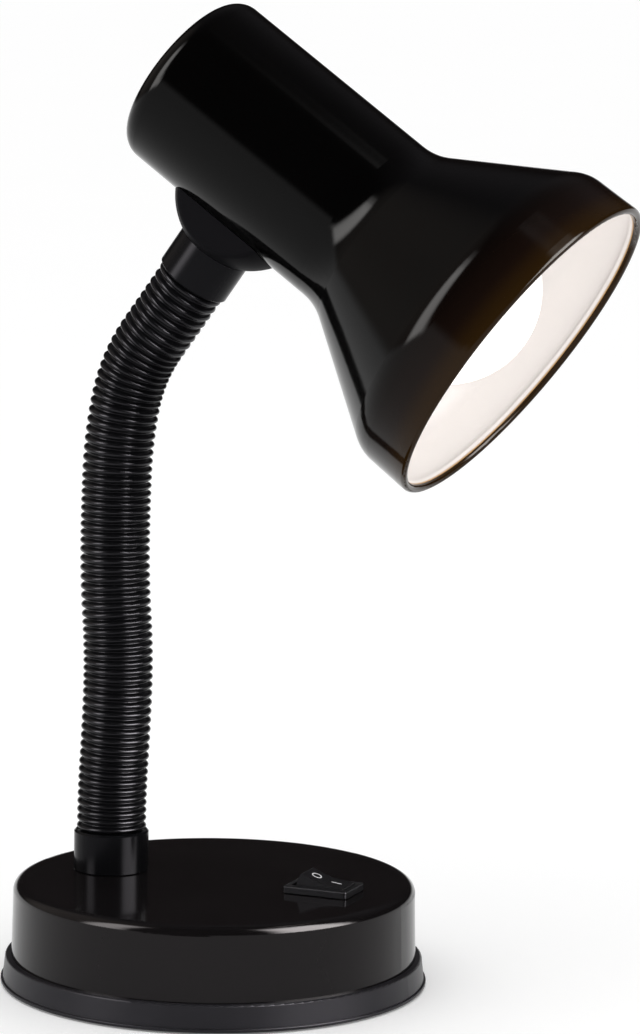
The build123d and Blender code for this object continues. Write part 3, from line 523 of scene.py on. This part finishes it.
class Recipe:
    """The node tree of one material, or of the world."""

    def __init__(self, tree):
        self.tree = tree
        self.tree.nodes.clear()

    def node(self, kind, settings=None, sockets=None, output=0):
        """Adds a node, sets it up, fills or links its sockets, and gives one of its outputs."""
        made = self.tree.nodes.new(kind)
        for key, value in (settings or {}).items():
            setattr(made, key, value)
        for key, value in (sockets or {}).items():
            if isinstance(value, Wire):
                self.tree.links.new(value.socket, made.inputs[key])
            else:
                made.inputs[key].default_value = value
        return Wire(self, made, output) if made.outputs else None

    def place(self):
        """Object coordinates."""
        return self.node("ShaderNodeTexCoord", output="Object")

    def noise(self, scale, detail=2.0, roughness=0.5):
        """Soft noise over the piece, from 0 to 1."""
        return self.node("ShaderNodeTexNoise", {}, {
            "Vector": self.place(), "Scale": scale, "Detail": detail, "Roughness": roughness})

    def colours(self, share, first, second):
        """Mix of two colours."""
        return self.node("ShaderNodeMix", {"data_type": "RGBA"},
                         {0: share, 6: opaque(first), 7: opaque(second)}, output=2)

    def vectors(self, operation, first, second, output=0):
        """Vector Math of two vectors."""
        return self.node("ShaderNodeVectorMath", {"operation": operation}, {0: first, 1: second}, output)

    def ease(self, value, start, end):
        """Smooth step from 0 at one value to 1 at another."""
        return self.node("ShaderNodeMapRange", {"interpolation_type": "SMOOTHSTEP"},
                         {"Value": value, "From Min": start, "From Max": end})

    def spread(self, direction, aim, inner, outer):
        """1 within an inner angle of an aim, falling to 0 at an outer one, in degrees."""
        nearness = self.vectors("DOT_PRODUCT", direction, aim, "Value")
        return self.ease(nearness, math.cos(math.radians(outer)), math.cos(math.radians(inner)))

    def added(self, share, colour, extra):
        """A colour with a share of another added."""
        return self.node("ShaderNodeMix", {"data_type": "RGBA", "blend_type": "ADD"},
                         {0: share, 6: opaque(colour), 7: opaque(extra)}, output=2)

    def bump(self, height, strength, distance):
        """Normal raised by a height."""
        return self.node("ShaderNodeBump", {}, {
            "Strength": strength, "Distance": distance, "Height": height})

    def surface(self, **sockets):
        """Principled shader and output, with sockets named in lower case."""
        named = {SOCKETS[key]: value for key, value in sockets.items()}
        shader = self.node("ShaderNodeBsdfPrincipled", {}, named)
        self.node("ShaderNodeOutputMaterial", {}, {"Surface": shader})


SOCKETS = {
    "colour": "Base Color", "roughness": "Roughness", "metallic": "Metallic", "normal": "Normal",
    "specular": "Specular IOR Level", "sheen_tint": "Specular Tint", "glow": "Emission Color",
    "glow_strength": "Emission Strength",
}


def opaque(colour):
    """A colour as a socket takes it, or a link as it is."""
    return colour if isinstance(colour, Wire) else (*tuple(colour)[:3], 1.0)


def tinted(colour, share):
    """A colour scaled in brightness."""
    return tuple(channel * share for channel in tuple(colour)[:3])


MADE_FINISHES = {}


def finish(name):
    """The material of that name and a recipe to fill, or no recipe if it was made already."""
    if name in MADE_FINISHES:
        return MADE_FINISHES[name], None
    material = MADE_FINISHES[name] = bpy.data.materials.new(f"{name}_finish")
    material.use_nodes = True
    return material, Recipe(material.node_tree)


# Gloss lacquer: least roughness and what the haze adds, darkest and lightest tint, raised peel in metres
GLOSS_ROUGHNESS = 0.07
HAZE_ROUGHNESS = 0.06
LACQUER_TINTS = (0.75, 1.3)
PEEL_STRENGTH = 0.02
PEEL_HEIGHT = 0.0002
# Inside of the shade, by depth behind the rim in metres: the black hem's end, the painted glow line's end,
# and where the painted warm and amber glow of the bulb's light on the outside lacquer start and are full
HEM_DEPTH = 0.0017
PAINTED_GLOW_LINE_DEPTH = 0.0026
PAINTED_WARM_GLOW_DEPTHS = (0.026, 0.004)
PAINTED_AMBER_GLOW_DEPTHS = (0.010, 0.001)
# Colour of the painted glow line: an amber band at the enamel's edge that stands in for the bulb's light
PAINTED_GLOW_LINE_COLOUR = (0.42, 0.22, 0.05)
# A face is inside where its normal leans this much towards the axis, tilted to the mouth
INSIDE_LEAN = 0.15
MOUTH_TILT = 0.5
ENAMEL_ROUGHNESS = 0.3


def lacquer_tones(recipe, haze, colour):
    """Lacquer's colour, darker and lighter with the haze."""
    dark, light = LACQUER_TINTS
    return recipe.colours(haze, tinted(colour, dark), tinted(colour, light))


def lacquer_finish():
    """Gloss black lacquer with a faint orange peel and wiped-over haze."""
    material, recipe = finish("gloss_lacquer")
    if recipe:
        colour = bpy.context.scene.lamp_colours.lacquer
        haze = recipe.noise(scale=38, detail=4, roughness=0.6)
        peel = recipe.noise(scale=620, detail=1)
        recipe.surface(
            colour=lacquer_tones(recipe, haze, colour),
            roughness=haze * HAZE_ROUGHNESS + GLOSS_ROUGHNESS,
            specular=0.18,
            sheen_tint=(1.0, 0.95, 0.97, 1.0),
            normal=recipe.bump(peel, PEEL_STRENGTH, PEEL_HEIGHT))
    return material


def shade_finish():
    """Gloss black lacquer outside and on the hem, white enamel inside, and painted glow of the bulb's light
    as warm and amber tints near the rim.
    """
    material, recipe = finish("shade_lacquer_and_enamel")
    if recipe:
        colours = bpy.context.scene.lamp_colours
        haze = recipe.noise(scale=30, detail=4, roughness=0.6)
        peel = recipe.noise(scale=520, detail=1)
        from_rim = recipe.vectors("SUBTRACT", recipe.place(), RIM)
        depth = recipe.vectors("DOT_PRODUCT", from_rim, HEAD_BACK, "Value")
        on_axis = recipe.node("ShaderNodeVectorMath", {"operation": "SCALE"},
                              {0: HEAD_BACK, "Scale": depth})
        outward = recipe.vectors("NORMALIZE", recipe.vectors("SUBTRACT", from_rim, on_axis), (0, 0, 0))
        inward = recipe.vectors("SUBTRACT", HEAD_FORWARD * MOUTH_TILT, outward)
        normal = recipe.node("ShaderNodeTexCoord", output="Normal")
        facing = recipe.vectors("DOT_PRODUCT", normal, inward, "Value")
        inside = (facing > INSIDE_LEAN) * (depth > HEM_DEPTH)
        black = lacquer_tones(recipe, haze, colours.shade)
        # Painted glow: warm and amber tints towards the rim stand in for the bulb's light on the outside
        black = recipe.colours(recipe.ease(depth, *PAINTED_WARM_GLOW_DEPTHS), black, colours.painted_warm_glow)
        black = recipe.colours(recipe.ease(depth, *PAINTED_AMBER_GLOW_DEPTHS), black, colours.painted_amber_glow)
        enamel = recipe.colours(haze, tinted(colours.enamel, 0.97), colours.enamel)
        # Painted glow: an amber line where the enamel starts stands in for the bulb's light at the rim
        white = recipe.colours(recipe.ease(depth, HEM_DEPTH, PAINTED_GLOW_LINE_DEPTH), PAINTED_GLOW_LINE_COLOUR, enamel)
        recipe.surface(
            colour=recipe.colours(inside, black, white),
            roughness=haze * HAZE_ROUGHNESS + GLOSS_ROUGHNESS + inside * ENAMEL_ROUGHNESS,
            specular=0.11,
            normal=recipe.bump(peel, PEEL_STRENGTH, PEEL_HEIGHT))
    return material


# Height in metres of the raised grain of moulded surfaces, the streaks in metal and the frost on glass
GRAIN_HEIGHT = 0.00008
STREAK_HEIGHT = 0.00005
FROST_HEIGHT = 0.00005


def grained(name, colour, roughness, spread, grain_scale, grain, specular=0.5):
    """Moulded surface: mottled colour and sheen, and a fine raised grain."""
    material, recipe = finish(name)
    if recipe:
        mottle = recipe.noise(scale=55, detail=3, roughness=0.55)
        fine = recipe.noise(scale=grain_scale, detail=2)
        recipe.surface(
            colour=recipe.colours(mottle, tinted(colour, 0.8), tinted(colour, 1.25)),
            roughness=mottle * spread + (roughness - spread / 2),
            specular=specular,
            sheen_tint=(0.94, 0.91, 1.0, 1.0),
            normal=recipe.bump(fine, grain, GRAIN_HEIGHT))
    return material


def plastic_finish():
    """Satin black plastic of the collars."""
    return grained("satin_plastic", bpy.context.scene.lamp_colours.plastic, roughness=0.2, spread=0.08,
                   grain_scale=2600, grain=0.05, specular=0.08)


def saddle_finish():
    """Matt black plastic of the saddle."""
    return grained("matt_plastic", bpy.context.scene.lamp_colours.saddle, roughness=0.5, spread=0.15,
                   grain_scale=900, grain=0.25, specular=0.03)


def foot_finish():
    """Satin black plastic of the foot ring, a little greyer than the collars."""
    return grained("foot_plastic", bpy.context.scene.lamp_colours.foot, roughness=0.32, spread=0.12,
                   grain_scale=1600, grain=0.08, specular=0.14)


def sleeve_finish():
    """Satin soft plastic of the ribbed sleeve."""
    return grained("ribbed_sleeve", bpy.context.scene.lamp_colours.sleeve, roughness=0.24, spread=0.1,
                   grain_scale=1800, grain=0.05, specular=0.21)


def rubber_finish():
    """Matt rubber of the pad under the foot and of the gland."""
    return grained("foot_rubber", (0.018, 0.018, 0.018), roughness=0.85, spread=0.15,
                   grain_scale=1500, grain=0.4)


def switch_finish():
    """Satin black plastic of the switch."""
    return grained("switch_plastic", (0.006, 0.006, 0.0065), roughness=0.38, spread=0.1,
                   grain_scale=3200, grain=0.1, specular=0.2)


def holder_finish():
    """Dark moulded resin of the lampholder."""
    return grained("holder_resin", (0.02, 0.016, 0.014), roughness=0.35, spread=0.15,
                   grain_scale=1400, grain=0.1)


def block_finish():
    """Pale plastic of the terminal block."""
    return grained("terminal_plastic", (0.78, 0.76, 0.7), roughness=0.5, spread=0.15,
                   grain_scale=1500, grain=0.1)


def lead_finish():
    """Dark grey sheath of the leads."""
    return grained("lead_sheath", (0.05, 0.05, 0.055), roughness=0.5, spread=0.15,
                   grain_scale=1200, grain=0.15)


def print_finish():
    """White print of the switch's marks."""
    return grained("white_print", (0.75, 0.75, 0.76), roughness=0.55, spread=0.1,
                   grain_scale=3000, grain=0.05)


def insulator_finish():
    """Black glass of the bulb's insulator."""
    return grained("cap_insulator", (0.02, 0.02, 0.025), roughness=0.15, spread=0.08,
                   grain_scale=900, grain=0.05)


def metal(name, colour, roughness, spread, scale, stretch=(1, 1, 1)):
    """Bare metal with drawn streaks or cast grain."""
    material, recipe = finish(name)
    if recipe:
        mapped = recipe.node("ShaderNodeMapping", {}, {"Vector": recipe.place(), "Scale": stretch})
        streak = recipe.node("ShaderNodeTexNoise", {}, {"Vector": mapped, "Scale": scale, "Detail": 4.0})
        recipe.surface(
            colour=recipe.colours(streak, tinted(colour, 0.8), tinted(colour, 1.1)),
            roughness=streak * spread + (roughness - spread / 2),
            metallic=1.0,
            normal=recipe.bump(streak, 0.1, STREAK_HEIGHT))
    return material


def steel_finish():
    """Zinc plated steel of plate, links, nuts and bracket, streaked along the upright."""
    return metal("zinc_plated_steel", (0.55, 0.55, 0.56), roughness=0.38, spread=0.2, scale=260,
                 stretch=(1, 1, 0.2))


def iron_finish():
    """Cast iron of the ballast weight."""
    return metal("cast_weight", (0.09, 0.09, 0.09), roughness=0.7, spread=0.2, scale=900)


def brass_finish():
    """Brass of the contacts and terminals."""
    return metal("contact_brass", (0.72, 0.5, 0.2), roughness=0.32, spread=0.15, scale=400)


def cap_finish():
    """Pale metal of the bulb's cap."""
    return metal("bulb_cap_metal", (0.74, 0.74, 0.75), roughness=0.3, spread=0.15, scale=300)


def bulb_finish():
    """Frosted glass, lit from within, with a faint mottle."""
    material, recipe = finish("lit_bulb_glass")
    if recipe:
        colours = bpy.context.scene.lamp_colours
        frost = recipe.noise(scale=240, detail=3)
        glow = recipe.colours(frost, tinted(colours.glow, 0.96), colours.glow)
        recipe.surface(
            colour=recipe.colours(frost, (0.46, 0.45, 0.43), (0.52, 0.51, 0.49)),
            roughness=frost * 0.1 + 0.3,
            glow=glow,
            glow_strength=colours.glow_strength,
            normal=recipe.bump(frost, 0.02, FROST_HEIGHT))
    return material


NODE_FINISHES = (
    (lacquer_finish, ("base_cover",)),
    (shade_finish, ("shade",)),
    (plastic_finish, ("lower_collar", "upper_collar")),
    (saddle_finish, ("swivel_saddle",)),
    (foot_finish, ("foot_ring",)),
    (rubber_finish, ("foot_pad", "cord_gland")),
    (switch_finish, ("switch_housing", "switch_rocker")),
    (holder_finish, ("holder_cap", "holder_body")),
    (block_finish, ("terminal_block",)),
    (lead_finish, ("base_leads", "head_leads", "neck_lead")),
    (sleeve_finish, tuple(f"neck_sleeve_{index}" for index in range(1, len(HINGES) + 1))),
    (steel_finish, ("base_plate", "base_screws", "neck_nipple", "nipple_washer", "nipple_nut",
                    "swivel_bolt", "swivel_washer", "swivel_nut", "holder_bracket", "holder_nipple",
                    "holder_nut")
     + tuple(f"neck_link_{index}" for index in range(len(HINGES) + 1))),
    (iron_finish, ("ballast_weight",)),
    (brass_finish, ("terminal_inserts", "terminal_screws", "switch_terminals", "rocker_contact",
                    "holder_shell", "holder_contact", "bulb_contact")),
    (bulb_finish, ("bulb_glass",)),
    (cap_finish, ("bulb_cap",)),
    (insulator_finish, ("bulb_insulator",)),
)


class LAMP_OT_finishes(bpy.types.Operator):
    """Gives every node of the frame its finish."""

    bl_idname = "lamp.finishes"
    bl_label = "Finishes"

    def execute(self, context):
        """Clears each node's materials and gives it its finish."""
        left = set(frame["nodes"])
        for make, nodes in NODE_FINISHES:
            material = make()
            for node in nodes:
                mesh = frame["nodes"][node].data
                mesh.materials.clear()
                mesh.materials.append(material)
                left.discard(node)
        if left:
            raise RuntimeError(f"no finish for {sorted(left)}")
        return {"FINISHED"}


# Tall strip lights: bearing from the camera, inner and outer spread in degrees, lower and upper end, colour
STRIP_LIGHTS = (
    (60, 10, 30, 0.12, 0.85, (28.0, 27.5, 27.0)),
    (-65, 3, 17, 0.06, 0.8, (11.0, 10.8, 10.6)),
)
# Wide dim glows: bearing and rise in degrees, inner and outer spread, colour
GLOWS = (
    (-100, 32, 10, 46, (0.5, 0.45, 0.41)),
    (150, 66, 10, 50, (0.1, 0.097, 0.106)),
)
# Half widths of the soft lower and upper ends of a strip, and heights between which the pale horizon fades
STRIP_LOWER_FADE = 0.06
STRIP_UPPER_FADE = 0.1
HORIZON_FADE = (0.02, 0.13)
# Point that the softbox aims at, half way up the lamp
LAMP_MIDDLE = Vector((0, 0, 0.16))
FLOOR_WIDTH = 80
FLOOR_GAP = 0.0002
FLOOR_GLOW = 0.13
SENSOR_LENGTH = 36
VIEW_DEPTH = 200


def shown_rays(recipe):
    """1 for the rays that show the background itself, in a mirror or a glass too."""
    rays = recipe.node("ShaderNodeLightPath", output="Is Camera Ray")
    return rays + rays.other("Is Glossy Ray") + rays.other("Is Transmission Ray") > 0.5


def bearing_vector(bearing, rise):
    """Unit vector away from the lamp, at a bearing from the camera's own and a rise over the horizon."""
    azimuth = bpy.context.scene.lamp_stage.azimuth + math.radians(bearing)
    lift = math.radians(rise)
    return Vector((math.sin(azimuth) * math.cos(lift), -math.cos(azimuth) * math.cos(lift), math.sin(lift)))


def softbox(name, bearing, rise, distance, width, height, power):
    """Area light that faces the lamp, at a bearing from the camera's own and a rise over the horizon."""
    back = bearing_vector(bearing, rise)
    bpy.ops.object.light_add(type="AREA", location=LAMP_MIDDLE + back * distance)
    light = bpy.context.object
    light.name = light.data.name = name
    light.rotation_euler = (-back).to_track_quat("-Z", "Y").to_euler()
    light.data.shape = "RECTANGLE"
    light.data.size = width
    light.data.size_y = height
    light.data.energy = power
    light.visible_camera = False
    light.visible_glossy = False


class LAMP_OT_stage(bpy.types.Operator):
    """Sets up the pale floor, the studio light and the camera."""

    bl_idname = "lamp.stage"
    bl_label = "Stage"

    def execute(self, context):
        """Makes the floor, the world, the softbox and the camera."""
        scene = context.scene
        size = scene.lamp_stage
        scene.view_settings.view_transform = "Standard"
        self.make_floor(size)
        self.make_world(scene, size)
        softbox("overhead_softbox", bearing=-30, rise=62, distance=1.8, width=1.2, height=1.2, power=3.0)
        self.make_camera(scene, size)
        return {"FINISHED"}

    def make_floor(self, size):
        """Wide pale floor under the lamp's foot."""
        deselect()
        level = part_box("foot_pad")[0].z - FLOOR_GAP
        bpy.ops.mesh.primitive_plane_add(size=FLOOR_WIDTH, location=(0, 0, level))
        floor = bpy.context.object
        floor.name = floor.data.name = "floor"
        bpy.ops.object.transform_apply(location=True, rotation=True, scale=True)
        material, recipe = finish("pale_floor")
        tone = recipe.noise(scale=3)
        recipe.surface(
            colour=recipe.colours(tone, tinted(size.floor, 0.99), size.floor),
            roughness=0.6,
            specular=0.0,
            glow=recipe.colours(shown_rays(recipe), (0, 0, 0), (1, 1, 1)),
            glow_strength=FLOOR_GLOW)
        floor.data.materials.append(material)

    def make_world(self, scene, size):
        """Pale band at the horizon, dim studio above it, and soft light from all round for diffuse rays."""
        world = bpy.data.worlds.new("studio")
        scene.world = world
        world.use_nodes = True
        recipe = Recipe(world.node_tree)
        direction = recipe.node("ShaderNodeTexCoord", output="Generated")
        height = recipe.node("ShaderNodeSeparateXYZ", {}, {0: direction}, "Z")
        above = recipe.ease(height, *HORIZON_FADE)
        seen = recipe.colours(above, (1, 1, 1), size.room)
        level = recipe.vectors("NORMALIZE", recipe.vectors("MULTIPLY", direction, (1, 1, 0)), (0, 0, 0))
        for bearing, inner, outer, low, high, colour in STRIP_LIGHTS:
            across = recipe.spread(level, bearing_vector(bearing, 0), inner, outer)
            over = recipe.ease(height, low - STRIP_LOWER_FADE, low + STRIP_LOWER_FADE)
            under = recipe.ease(height, high + STRIP_UPPER_FADE, high - STRIP_UPPER_FADE)
            seen = recipe.added(across * over * under, seen, colour)
        for bearing, rise, inner, outer, colour in GLOWS:
            share = recipe.spread(direction, bearing_vector(bearing, rise), inner, outer)
            seen = recipe.added(share * above, seen, colour)
        colour = recipe.colours(shown_rays(recipe), (size.ambient,) * 3, seen)
        background = recipe.node("ShaderNodeBackground", {}, {"Color": colour, "Strength": 1.0})
        recipe.node("ShaderNodeOutputWorld", {}, {"Surface": background})

    def make_camera(self, scene, size):
        """Camera of the main view."""
        bpy.ops.object.camera_add()
        camera = bpy.context.object
        camera.name = camera.data.name = "camera"
        heading = size.azimuth + size.yaw
        ahead = Vector((-math.sin(heading) * math.cos(size.pitch), math.cos(heading) * math.cos(size.pitch),
                        -math.sin(size.pitch)))
        level = Vector((math.cos(heading), math.sin(heading), 0))
        upright = level.cross(ahead)
        right = level * math.cos(size.roll) + upright * math.sin(size.roll)
        up = upright * math.cos(size.roll) - level * math.sin(size.roll)
        place = bearing_vector(0, 0) * size.distance + Vector((0, 0, size.height))
        camera.matrix_world = Matrix.Translation(place) @ Matrix((right, up, -ahead)).transposed().to_4x4()
        camera.data.sensor_width = SENSOR_LENGTH
        camera.data.lens = size.lens
        camera.data.clip_end = VIEW_DEPTH
        scene.camera = camera


class LAMP_PT_panel(bpy.types.Panel):
    """Lists the lamp's pieces and its stage."""

    bl_label = "Table lamp"
    bl_idname = "LAMP_PT_panel"
    bl_space_type = "VIEW_3D"
    bl_region_type = "UI"
    bl_category = "Lamp"

    def draw(self, context):
        """Draws a button for each operator, and the settings below."""
        for operator in OPERATORS:
            self.layout.operator(operator.bl_idname)
        for group in SETTINGS:
            settings = getattr(context.scene, group)
            column = self.layout.column(heading=group)
            for name in settings.__annotations__:
                column.prop(settings, name)


OPERATORS = (LAMP_OT_neck_sleeve, LAMP_OT_neck_lead, LAMP_OT_switch_marks, LAMP_OT_finishes, LAMP_OT_stage)
SETTINGS = {
    "lamp_sleeve": LampSleeveSettings,
    "lamp_lead": LampLeadSettings,
    "lamp_marks": LampMarkSettings,
    "lamp_colours": LampColours,
    "lamp_stage": LampStageSettings,
}


def register():
    """Registers the classes and puts the settings on the scene."""
    for group in SETTINGS.values():
        bpy.utils.register_class(group)
    for operator in OPERATORS:
        bpy.utils.register_class(operator)
    bpy.utils.register_class(LAMP_PT_panel)
    for name, group in SETTINGS.items():
        setattr(bpy.types.Scene, name, PointerProperty(type=group))


def unregister():
    """Takes the settings off the scene and the classes out again."""
    for name in SETTINGS:
        delattr(bpy.types.Scene, name)
    bpy.utils.unregister_class(LAMP_PT_panel)
    for operator in reversed(OPERATORS):
        bpy.utils.unregister_class(operator)
    for group in SETTINGS.values():
        bpy.utils.unregister_class(group)


def main():
    """Builds the pieces, dresses the frame and sets the stage."""
    register()
    bpy.ops.lamp.neck_sleeve()
    bpy.ops.lamp.neck_lead()
    bpy.ops.lamp.switch_marks()
    bpy.ops.lamp.finishes()
    bpy.ops.lamp.stage()


if __name__ == "__main__":
    main()
